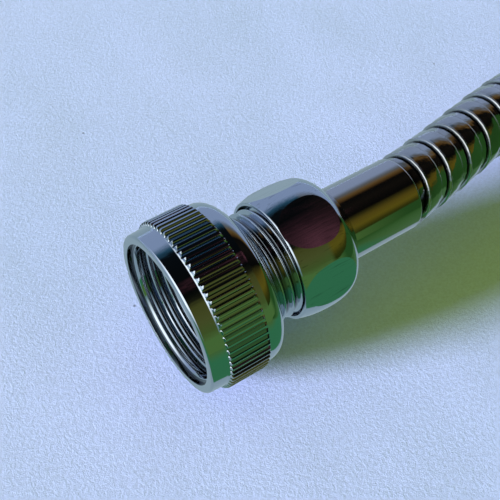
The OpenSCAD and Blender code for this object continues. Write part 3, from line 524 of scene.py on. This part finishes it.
def shower_shell(chrome):
    """The hand shower's chromed shell: sections found on the field's surface, then bored out."""
    tip = HEAD_X + 34.5
    stations = np.concatenate((np.arange(42.2, 150, 2.0), np.arange(150, HEAD_X + 20, 0.9),
                               tip - 14.5 * np.cos(np.linspace(0, math.pi / 2, 26)) ** 1.6))
    stations = np.unique(np.round(np.minimum(stations, tip - 0.02), 3))
    middle = np.interp(stations, [HEAD_X, HEAD_X + 30, tip], [-2, 1, 3])
    angle = TAU * np.arange(144) / 144
    x = np.repeat(stations[:, None], len(angle), 1)
    near, far = np.zeros_like(x), np.full_like(x, 60.0)
    for _ in range(36):
        mid = (near + far) / 2
        inside = shell_field(x, mid * np.cos(angle), middle[:, None] + mid * np.sin(angle)) < 0
        near, far = np.where(inside, mid, near), np.where(inside, far, mid)
    y, z = near * np.cos(angle), middle[:, None] + near * np.sin(angle)

    def place(px, py, pz):
        return ((HOSE_END[0] - px) * MM, (HOSE_END[1] - py) * MM, (HOSE_END[2] + pz) * MM)

    def fill(bm):
        rings = [[bm.verts.new(place(*q)) for q in zip(x[i], y[i], z[i])] for i in range(len(stations))]
        for a, b in zip(rings[:-1], rings[1:]):
            for k in range(len(angle)):
                m = (k + 1) % len(angle)
                bm.faces.new((a[k], a[m], b[m], b[k]))
        bm.faces.new(rings[0])
        bm.faces.new(rings[-1])

    def bored(bm, outline, upright, columns=128):
        rings = []
        for along, r in outline:
            ring = []
            for k in range(columns):
                c, d = r * math.cos(TAU * k / columns), r * math.sin(TAU * k / columns)
                ring.append(bm.verts.new(place(HEAD_X + c, d, along) if upright else place(along, c, d)))
            rings.append(ring)
        for a, b in zip(rings[:-1], rings[1:]):
            for k in range(columns):
                m = (k + 1) % columns
                bm.faces.new((a[k], a[m], b[m], b[k]))
        bm.faces.new(rings[0])
        bm.faces.new(rings[-1])

    def box(bm, low, high):
        made = bmesh.ops.create_cube(bm, size=1)["verts"]
        for v in made:
            q = [low[k] + (high[k] - low[k]) * (v.co[k] + 0.5) for k in range(3)]
            v.co = place(*q)

    shell = new_piece("shower_shell", fill, 40)
    cutters = [
        new_piece("handle_bore", lambda bm: bored(bm, [(41, 9.5), (HEAD_X - 20, 9.5)], False)),
        new_piece("cup_bore", lambda bm: bored(bm, [(-10.8, 20), (-8.8, 25), (-5.8, 29), (-0.8, 32.3),
                                                    (8, 32.3)], True)),
        new_piece("ring_seat", lambda bm: bored(bm, [(6.5, 36.4), (20, 36.4)], True)),
        new_piece("bezel_pocket", lambda bm: box(bm, (97.0, -6.5, 11.2), (137.4, 6.5, 20))),
        new_piece("stem_slot", lambda bm: box(bm, (109, -2.3, 0), (128, 2.3, 14)))]
    for cutter in cutters:
        cut = shell.modifiers.new(cutter.name, "BOOLEAN")
        cut.operation, cut.solver, cut.object = "DIFFERENCE", "EXACT", cutter
    graph = bpy.context.evaluated_depsgraph_get()
    mesh = bpy.data.meshes.new_from_object(shell.evaluated_get(graph))
    shell.modifiers.clear()
    shell.data = mesh
    for cutter in cutters:
        bpy.data.objects.remove(cutter)
    crisp(shell, 28)
    mesh.materials.clear()
    mesh.materials.append(chrome)
    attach(shell, "handset")
    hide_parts("handset_shell")


# ---- Finishes ----

def chrome_plating():
    """Bright chromium over polished brass: a cool mirror, with the faint waves of buffing and painted shade
    in its grooves.
    """
    material, tree, shader = new_material("chrome_plating")
    shader.inputs["Metallic"].default_value = 1
    # Painted shade: where the valley attribute is high the base colour goes near black, in the knurl's
    # valleys, the mouth and the thread's roots
    valley = add_node(tree, "ShaderNodeAttribute", attribute_name="valley").outputs["Fac"]
    bright, dark = linear("#B7C2CC"), linear("#0C0D0C")
    tone = ramp(tree, valley, [(0.0, bright), (0.27, bright), (0.48, dark)])
    tree.links.new(tone, shader.inputs["Base Color"])
    place = add_node(tree, "ShaderNodeTexCoord").outputs["Object"]
    haze = add_node(tree, "ShaderNodeTexNoise", {"Vector": place, "Scale": 260.0, "Detail": 3.0})
    rough = add_node(tree, "ShaderNodeMapRange", {"Value": haze.outputs["Fac"], "From Min": 0.3,
                     "From Max": 0.75, "To Min": 0.035, "To Max": 0.09})
    tree.links.new(rough.outputs[0], shader.inputs["Roughness"])
    waves = add_node(tree, "ShaderNodeTexNoise", {"Vector": place, "Scale": 320.0, "Detail": 1.0})
    bump = add_node(tree, "ShaderNodeBump", {"Height": waves.outputs["Fac"], "Strength": 0.12,
                    "Distance": 0.00006})
    tree.links.new(bump.outputs[0], shader.inputs["Normal"])
    return material


def buffed_plating():
    """Chromium over brass that was buffed along the piece: faint streaks in a clear mirror."""
    material, tree, shader = new_material("buffed_plating")
    shader.inputs["Metallic"].default_value = 1
    place = add_node(tree, "ShaderNodeTexCoord").outputs["Object"]
    drawn = add_node(tree, "ShaderNodeMapping", {"Vector": place, "Scale": (160, 2200, 2200)})
    streaks = add_node(tree, "ShaderNodeTexNoise", {"Vector": drawn.outputs[0], "Scale": 1.0, "Detail": 4.0,
                       "Roughness": 0.6})
    dull = ramp(tree, streaks.outputs["Fac"], [(0.3, linear("#98A2AA")), (0.42, linear("#B7C2CC"))])
    tree.links.new(dull, shader.inputs["Base Color"])
    rough = add_node(tree, "ShaderNodeMapRange", {"Value": streaks.outputs["Fac"], "From Min": 0.35,
                     "From Max": 0.7, "To Min": 0.03, "To Max": 0.1})
    tree.links.new(rough.outputs[0], shader.inputs["Roughness"])
    bump = add_node(tree, "ShaderNodeBump", {"Height": streaks.outputs["Fac"], "Strength": 0.07,
                    "Distance": 0.00004})
    tree.links.new(bump.outputs[0], shader.inputs["Normal"])
    return material


def polished_steel():
    """Stainless tube polished on a wheel: a mirror with very fine hoops round the tube."""
    material, tree, shader = new_material("polished_steel")
    shader.inputs["Base Color"].default_value = linear("#B9BCBF")
    shader.inputs["Metallic"].default_value = 1
    place = add_node(tree, "ShaderNodeTexCoord").outputs["Object"]
    stretched = add_node(tree, "ShaderNodeMapping", {"Vector": place, "Scale": (9000, 300, 300)})
    hoops = add_node(tree, "ShaderNodeTexNoise", {"Vector": stretched.outputs[0], "Scale": 1.0,
                     "Detail": 2.0})
    rough = add_node(tree, "ShaderNodeMapRange", {"Value": hoops.outputs["Fac"], "From Min": 0.3,
                     "From Max": 0.7, "To Min": 0.05, "To Max": 0.13})
    tree.links.new(rough.outputs[0], shader.inputs["Roughness"])
    bump = add_node(tree, "ShaderNodeBump", {"Height": hoops.outputs["Fac"], "Strength": 0.06,
                    "Distance": 0.00003})
    tree.links.new(bump.outputs[0], shader.inputs["Normal"])
    return material


def wound_strip():
    """Rolled stainless strip: bright, a little hazier than plating, with painted shade low in the seams."""
    material, tree, shader = new_material("wound_strip")
    shader.inputs["Metallic"].default_value = 1
    place = add_node(tree, "ShaderNodeTexCoord").outputs["Object"]
    stains = add_node(tree, "ShaderNodeTexNoise", {"Vector": place, "Scale": 190.0, "Detail": 4.0})
    tone = ramp(tree, stains.outputs["Fac"], [(0.3, linear("#A7AAAA")), (0.7, linear("#BDC2C6"))])
    # Painted shade: the colour goes near black low in the seams between turns
    valley = add_node(tree, "ShaderNodeAttribute", attribute_name="valley").outputs["Fac"]
    seam_shade = add_node(tree, "ShaderNodeMix", {"Factor": valley, 6: tone, 7: linear("#161615")},
                      data_type="RGBA")
    tree.links.new(seam_shade.outputs[2], shader.inputs["Base Color"])
    rough = add_node(tree, "ShaderNodeMapRange", {"Value": stains.outputs["Fac"], "From Min": 0.3,
                     "From Max": 0.7, "To Min": 0.16, "To Max": 0.08})
    tree.links.new(rough.outputs[0], shader.inputs["Roughness"])
    rolling = add_node(tree, "ShaderNodeTexNoise", {"Vector": place, "Scale": 430.0, "Detail": 3.0})
    bump = add_node(tree, "ShaderNodeBump", {"Height": rolling.outputs["Fac"], "Strength": 0.6,
                    "Distance": 0.00022})
    tree.links.new(bump.outputs[0], shader.inputs["Normal"])
    return material


def plain_metal(name, colour, low, high):
    """Turned or drawn metal that is seldom seen: fine rings and an uneven haze."""
    material, tree, shader = new_material(name)
    shader.inputs["Base Color"].default_value = linear(colour)
    shader.inputs["Metallic"].default_value = 1
    place = add_node(tree, "ShaderNodeTexCoord").outputs["Object"]
    rings = add_node(tree, "ShaderNodeTexNoise", {"Vector": place, "Scale": 500.0, "Detail": 3.0})
    rough = add_node(tree, "ShaderNodeMapRange", {"Value": rings.outputs["Fac"], "To Min": low,
                     "To Max": high})
    tree.links.new(rough.outputs[0], shader.inputs["Roughness"])
    return material


def moulded(name, dark, light, low, high, grain, depth):
    """Moulded plastic or rubber: a fine spark-eroded grain and a slight drift of tone."""
    material, tree, shader = new_material(name)
    place = add_node(tree, "ShaderNodeTexCoord").outputs["Object"]
    drift = add_node(tree, "ShaderNodeTexNoise", {"Vector": place, "Scale": 60.0, "Detail": 3.0})
    tone = ramp(tree, drift.outputs["Fac"], [(0.3, linear(dark)), (0.7, linear(light))])
    tree.links.new(tone, shader.inputs["Base Color"])
    rough = add_node(tree, "ShaderNodeMapRange", {"Value": drift.outputs["Fac"], "To Min": low,
                     "To Max": high})
    tree.links.new(rough.outputs[0], shader.inputs["Roughness"])
    texture = add_node(tree, "ShaderNodeTexNoise", {"Vector": place, "Scale": grain, "Detail": 2.0})
    bump = add_node(tree, "ShaderNodeBump", {"Height": texture.outputs["Fac"], "Strength": 0.5,
                    "Distance": depth})
    tree.links.new(bump.outputs[0], shader.inputs["Normal"])
    return material


def woven_mesh():
    """Etched stainless sheet in the strainer, with a fine grain."""
    return plain_metal("etched_steel", "#A9ABAC", 0.22, 0.4)


FINISHES = {
    "chrome_plate": chrome_plating(),
    "polished_ferrule": polished_steel(),
    "stainless_hose": wound_strip(),
    "stainless_mesh": woven_mesh(),
    "stainless_steel": plain_metal("drawn_steel", "#B4B6B8", 0.15, 0.3),
    "turned_brass": plain_metal("turned_brass", "#C9A85C", 0.18, 0.32),
    "black_rubber": moulded("black_rubber", "#161617", "#1F1F20", 0.5, 0.7, 900.0, 0.00008),
    "white_liner": moulded("clear_liner", "#DADCDA", "#E6E8E6", 0.3, 0.45, 700.0, 0.00004),
    "white_acetal": moulded("white_acetal", "#E2E2DE", "#ECECE8", 0.3, 0.42, 800.0, 0.00004),
    "black_abs": moulded("black_abs", "#1B1C1E", "#242629", 0.32, 0.46, 1400.0, 0.00005),
    "grey_silicone": moulded("grey_silicone", "#5C6064", "#686D72", 0.45, 0.6, 900.0, 0.00005),
}


def dress_frame():
    """Gives each carried-over part the finish of its own slot."""
    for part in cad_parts.values():
        for i, held in enumerate(part.material_slots):
            slot = held.material.name.split(".")[0] if held.material else ""
            if slot in FINISHES:
                part.material_slots[i].material = FINISHES[slot]


dress_frame()
tap_collar(FINISHES["chrome_plate"])
pipe_nipple(FINISHES["chrome_plate"])
domed_nut(buffed_plating())
ferrule("inlet_sleeve", HOSE_START, "inlet_ferrule", FINISHES["polished_ferrule"])
ferrule("outlet_sleeve", HOSE_END, "outlet_ferrule", FINISHES["polished_ferrule"])
hose.data.materials.append(FINISHES["stainless_hose"])
shower_shell(FINISHES["chrome_plate"])


# ---- Floor, cards and light ----

def paper():
    """Cool white drawing paper: short fibres, faint clouds and a few dark specks."""
    material, tree, shader = new_material("drawing_paper")
    place = add_node(tree, "ShaderNodeTexCoord").outputs["Object"]
    clouds = add_node(tree, "ShaderNodeTexNoise", {"Vector": place, "Scale": 14.0, "Detail": 2.0})
    fibres = add_node(tree, "ShaderNodeTexNoise", {"Vector": place, "Scale": 1900.0, "Detail": 4.0,
                      "Roughness": 0.75})
    tone = ramp(tree, clouds.outputs["Fac"], [(0.3, linear("#C1D3F6")), (0.7, linear("#C7D7FB"))])
    specks = add_node(tree, "ShaderNodeTexVoronoi", {"Vector": place, "Scale": 95.0, "Randomness": 1.0})
    grain = ramp(tree, fibres.outputs["Fac"], [(0.36, grey(0.86)), (0.62, grey(1.0))])
    tone = add_node(tree, "ShaderNodeMix", {"Factor": 1.0, 6: tone, 7: grain}, data_type="RGBA",
                    blend_type="MULTIPLY").outputs[2]
    spots = ramp(tree, specks.outputs["Distance"], [(0.0, grey(0.35)), (0.018, grey(0.5)),
                                                    (0.035, grey(1.0))])
    speckled = add_node(tree, "ShaderNodeMix", {"Factor": 1.0, 6: tone, 7: spots}, data_type="RGBA",
                        blend_type="MULTIPLY")
    tree.links.new(speckled.outputs[2], shader.inputs["Base Color"])
    shader.inputs["Roughness"].default_value = 0.9
    shader.inputs["Specular IOR Level"].default_value = 0.15
    swell = add_node(tree, "ShaderNodeTexNoise", {"Vector": place, "Scale": 26.0, "Detail": 1.0})
    folds = add_node(tree, "ShaderNodeBump", {"Height": swell.outputs["Fac"], "Strength": 0.5,
                     "Distance": 0.0014})
    bump = add_node(tree, "ShaderNodeBump", {"Height": fibres.outputs["Fac"], "Strength": 0.5,
                    "Distance": 0.00026, "Normal": folds.outputs[0]})
    tree.links.new(bump.outputs[0], shader.inputs["Normal"])
    return material


def flat_sheet(name, corners, z, material):
    mesh = bpy.data.meshes.new(name)
    mesh.from_pydata([(x * MM, y * MM, z * MM) for x, y in corners], [], [tuple(range(len(corners)))])
    mesh.materials.append(material)
    sheet = bpy.data.objects.new(name, mesh)
    bpy.context.scene.collection.objects.link(sheet)
    return sheet


def glowing_card(name, corners, stops, hose_stops):
    """A glowing card on the floor that only the polish sees, a painted reflection; its colour runs out from
    the piece and along it.
    """
    glow = bpy.data.materials.new(name)
    glow.use_nodes = True
    tree = glow.node_tree
    tree.nodes.clear()
    place = add_node(tree, "ShaderNodeTexCoord").outputs["Object"]
    axes = add_node(tree, "ShaderNodeSeparateXYZ", {0: place}).outputs
    share = add_node(tree, "ShaderNodeMapRange", {"Value": axes[1], "From Min": 0.0,
                     "From Max": -0.2}).outputs[0]
    along = add_node(tree, "ShaderNodeMapRange", {"Value": axes[0], "From Min": 0.046, "From Max": 0.054})
    tone = add_node(tree, "ShaderNodeMix", {"Factor": along.outputs[0], 6: ramp(tree, share, stops),
                    7: ramp(tree, share, hose_stops)}, data_type="RGBA").outputs[2]
    shine = add_node(tree, "ShaderNodeEmission", {"Color": tone, "Strength": 1.0})
    add_node(tree, "ShaderNodeOutputMaterial", {"Surface": shine.outputs[0]})
    card = flat_sheet(name, corners, -15.99, glow)
    card.visible_camera = card.visible_diffuse = card.visible_shadow = False


def lay_floor():
    flat_sheet("paper_floor", [(-900, -900), (1100, -900), (1100, 900), (-900, 900)], -16.02, paper())
    near_edge = [(-400, -20.5), (15, -20.5), (22, -18.2), (34, -18.2), (40, -13.5), (66, -10), (90, -4),
                 (130, 4), (1000, 4)]
    green = [(0.0, (0.05, 0.22, 0.10, 1)), (0.24, (0.05, 0.24, 0.10, 1)), (0.4, (0.09, 0.21, 0.06, 1)),
             (1.0, (0.05, 0.12, 0.03, 1))]
    mossy = [(0.0, (0.11, 0.22, 0.11, 1)), (0.12, (0.08, 0.2, 0.06, 1)), (0.3, (0.045, 0.14, 0.03, 1)),
             (0.5, (0.02, 0.07, 0.012, 1))]
    pale = [(0.0, (0.36, 0.47, 0.54, 1))]
    # Painted reflections: the green card glows where the polish should show shaded floor beside the piece,
    # the pale card where it should show lit floor under and behind it
    glowing_card("green_card", near_edge + [(1000, -850), (-400, -850)], green, mossy)
    glowing_card("pale_card", near_edge[::-1] + [(-400, 260), (1000, 260)], pale, pale)
    standing_flag()


def standing_flag():
    """A low glowing flag, a painted green reflection, that keeps the stored hose and the hand shower out of
    the polish near the tap.
    """
    line = [(-300, -92), (60, -92), (92, -62), (92, -10), (100, 2), (130, 4)]
    glow = bpy.data.materials.new("standing_flag")
    glow.use_nodes = True
    tree = glow.node_tree
    tree.nodes.clear()
    along = add_node(tree, "ShaderNodeSeparateXYZ",
                     {0: add_node(tree, "ShaderNodeTexCoord").outputs["Object"]}).outputs[0]
    share = add_node(tree, "ShaderNodeMapRange", {"Value": along, "From Min": 0.068, "From Max": 0.088})
    tone = ramp(tree, share.outputs[0], [(0.0, (0.11, 0.23, 0.055, 1)), (1.0, (0.03, 0.105, 0.022, 1))])
    shine = add_node(tree, "ShaderNodeEmission", {"Color": tone, "Strength": 1.0})
    add_node(tree, "ShaderNodeOutputMaterial", {"Surface": shine.outputs[0]})
    mesh = bpy.data.meshes.new("standing_flag")
    mesh.from_pydata([(x * MM, y * MM, z * MM) for x, y in line for z in (-15.9, 14)], [],
                     [(2 * i, 2 * i + 2, 2 * i + 3, 2 * i + 1) for i in range(len(line) - 1)])
    mesh.materials.append(glow)
    flag = bpy.data.objects.new("standing_flag", mesh)
    bpy.context.scene.collection.objects.link(flag)
    flag.visible_camera = flag.visible_diffuse = flag.visible_shadow = False


def light_world():
    """A pale room for the eye; polish sees a window, a dark ceiling and an olive wall."""
    world = bpy.data.worlds.new("studio")
    bpy.context.scene.world = world
    world.use_nodes = True
    tree = world.node_tree
    tree.nodes.clear()
    sight = add_node(tree, "ShaderNodeTexCoord").outputs["Generated"]
    axes = add_node(tree, "ShaderNodeSeparateXYZ", {0: sight}).outputs
    turn = add_node(tree, "ShaderNodeMath", {0: axes[2], 1: axes[1]}, operation="ARCTAN2").outputs[0]
    share = add_node(tree, "ShaderNodeMapRange", {"Value": turn, "From Min": -math.pi, "From Max": math.pi})

    def colour(r, g, b):
        return (r, g, b, 1)

    def by_angle(factor, stops):
        return ramp(tree, factor, [((a + 180) / 360, c) for a, c in stops])

    # Small ripples break the edges between the reflected bands
    ripple = add_node(tree, "ShaderNodeTexNoise", {"Vector": sight, "Scale": 34.0, "Detail": 4.0,
                      "Roughness": 0.65}).outputs["Fac"]
    drift = add_node(tree, "ShaderNodeMapRange", {"Value": ripple, "To Min": -0.018, "To Max": 0.018})
    even = share.outputs[0]
    share = add_node(tree, "ShaderNodeMath", {0: even, 1: drift.outputs[0]}, operation="ADD").outputs[0]
    # Angles from the far horizon, 0, over the top, 90, to the near horizon, 180, seen to the hose's side
    # and to the tap's side
    pale, green = colour(0.36, 0.44, 0.64), colour(0.05, 0.22, 0.10)
    hose_side = [(-180, colour(0.008, 0.04, 0.005)), (-165, green), (-110, green), (-100, pale), (34, pale),
                 (48, colour(0.16, 0.17, 0.18)), (58, colour(0.19, 0.11, 0.035)),
                 (66, colour(0.10, 0.05, 0.014)), (72, colour(0.004, 0.004, 0.004)),
                 (92, colour(0.01, 0.008, 0.006)), (118, colour(0.003, 0.003, 0.003)),
                 (126, colour(0.05, 0.04, 0.008)), (138, colour(0.14, 0.10, 0.012)),
                 (152, colour(0.17, 0.13, 0.012)), (166, colour(0.05, 0.05, 0.006)),
                 (180, colour(0.008, 0.04, 0.005))]
    tap_side = [(-180, colour(0.12, 0.24, 0.06)), (-160, green), (-110, green), (-100, pale), (36, pale),
                (47, colour(0.03, 0.10, 0.16)), (56, colour(0.004, 0.006, 0.008)),
                (112, colour(0.002, 0.003, 0.003)), (122, colour(0.012, 0.012, 0.006)),
                (130, colour(0.09, 0.09, 0.02)), (150, colour(0.11, 0.12, 0.03)),
                (166, colour(0.09, 0.14, 0.03)), (180, colour(0.12, 0.24, 0.06))]
    to_hose, to_tap = by_angle(share, hose_side), by_angle(share, tap_side)
    way = add_node(tree, "ShaderNodeMapRange", {"Value": axes[0], "From Min": 0.42, "From Max": 0.47})
    bands = add_node(tree, "ShaderNodeMix", {"Factor": way.outputs[0], 6: to_tap, 7: to_hose},
                     data_type="RGBA").outputs[2]
    # Plum patches overhead: strong where the nut's upper flat looks, faint over the collar
    patches = add_node(tree, "ShaderNodeTexNoise", {"Vector": sight, "Scale": 30.0, "Detail": 6.0,
                       "Roughness": 0.75}).outputs["Fac"]
    overhead = by_angle(even, [(94.9, grey(0)), (96.1, grey(1)), (104, grey(1)), (112, grey(0))])
    broken = ramp(tree, patches, [(0.42, grey(0)), (0.58, grey(1))])
    plum = add_node(tree, "ShaderNodeMath", {0: overhead, 1: broken}, operation="MULTIPLY").outputs[0]
    near_flat = ramp(tree, axes[0], [(0.30, grey(0.25)), (0.36, grey(1)), (0.44, grey(1)),
                                     (0.46, grey(0))])
    plum = add_node(tree, "ShaderNodeMath", {0: plum, 1: near_flat}, operation="MULTIPLY").outputs[0]
    warm = add_node(tree, "ShaderNodeMix", {"Factor": plum, 6: bands, 7: colour(0.2, 0.062, 0.082)},
                    data_type="RGBA").outputs[2]
    # The bright window beyond the tap end, brightest overhead
    beyond = add_node(tree, "ShaderNodeMapRange", {"Value": axes[0], "From Min": -0.22,
                      "From Max": -0.45}).outputs[0]
    bright = colour(1.9, 1.95, 2.0)
    glare = by_angle(share, [(20, colour(0.42, 0.52, 0.72)), (70, bright), (130, bright),
                             (165, colour(0.25, 0.38, 0.42))])
    seen = add_node(tree, "ShaderNodeMix", {"Factor": beyond, 6: warm, 7: glare},
                    data_type="RGBA").outputs[2]
    room = add_node(tree, "ShaderNodeBackground", {"Color": seen, "Strength": 1.0}).outputs[0]
    plain = add_node(tree, "ShaderNodeBackground", {"Color": colour(0.28, 0.36, 0.06),
                     "Strength": 1.0}).outputs[0]
    sky = add_node(tree, "ShaderNodeBackground", {"Color": linear("#BCD0EE"), "Strength": 1.0}).outputs[0]
    ray = add_node(tree, "ShaderNodeLightPath").outputs
    soft = add_node(tree, "ShaderNodeMixShader", {0: ray["Is Diffuse Ray"], 1: room, 2: plain}).outputs[0]
    whole = add_node(tree, "ShaderNodeMixShader", {0: ray["Is Camera Ray"], 1: soft, 2: sky}).outputs[0]
    add_node(tree, "ShaderNodeOutputWorld", {"Surface": whole})


def light_window():
    """Low, wide daylight from beyond the tap end."""
    data = bpy.data.lights.new("window", "SUN")
    data.energy, data.angle, data.color = 11.8, math.radians(15), (0.71, 0.67, 0.97)
    lamp = bpy.data.objects.new("window", data)
    azimuth, height = math.radians(169.2), math.radians(14.4)
    toward = Vector((math.cos(azimuth) * math.cos(height), math.sin(azimuth) * math.cos(height),
                     math.sin(height)))
    lamp.rotation_euler = toward.to_track_quat("Z", "Y").to_euler()
    bpy.context.scene.collection.objects.link(lamp)
    lamp.visible_glossy = False


lay_floor()
light_world()
light_window()
bpy.context.scene.view_settings.view_transform = "Standard"
